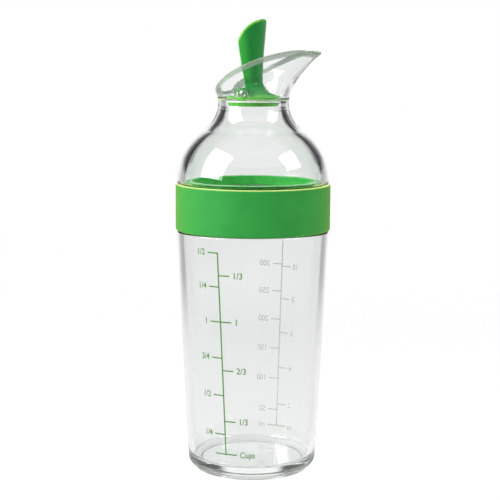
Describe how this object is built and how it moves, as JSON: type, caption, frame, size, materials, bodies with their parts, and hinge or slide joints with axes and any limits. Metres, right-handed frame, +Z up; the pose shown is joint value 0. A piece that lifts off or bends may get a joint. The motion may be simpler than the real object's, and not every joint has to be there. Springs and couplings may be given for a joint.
{
  "type": "dressing shaker bottle",
  "caption": "Clear shaker bottle with a screw-on pouring lid, a soft grip band and a petal lever that tips a stopper disc in the flared spout.",
  "frame": {"origin": "centre of the bottle's foot, on the surface that it stands on", "axes": "+Z up along the bottle's axis, +X towards the tip of the spout, +Y along the pivot pin"},
  "size_m": [0.077, 0.077, 0.2245],
  "materials": {
    "clear_bottle": "clear, glossy",
    "clear_lid": "clear, glossy",
    "green_grip": "satin",
    "green_lever": "glossy",
    "pale_silicone": "satin",
    "green_silicone": "satin",
    "polished_pin": "polished"
  },
  "bodies": {
    "bottle": {"bottle": "clear_bottle"},
    "gasket": {"lid_gasket": "green_silicone"},
    "lid": {"lid_shell": "clear_lid", "grip_band": "green_grip", "pivot_pin": "polished_pin"},
    "lever": {"pour_lever": "green_lever", "stopper_seal": "pale_silicone", "seal_retainer": "green_lever"}
  },
  "joints": [
    {"name": "lid_lift", "type": "slide", "parent": "bottle", "child": "gasket", "axis": [0, 0, 1], "range_m": [0, 0.012]},
    {"name": "lid_twist", "type": "hinge", "parent": "gasket", "child": "lid", "pos_m": [0, 0, 0.1426], "axis": [0, 0, 1], "range_deg": [0, 360]},
    {"name": "lever_flip", "type": "hinge", "parent": "lid", "child": "lever", "pos_m": [0, 0, 0.18842], "axis": [0, -1, 0], "range_deg": [0, 60]}
  ],
  "couplings": [
    {"joint": "lid_lift", "follows": "lid_twist", "m_per_rad": 0.0019098}
  ]
}
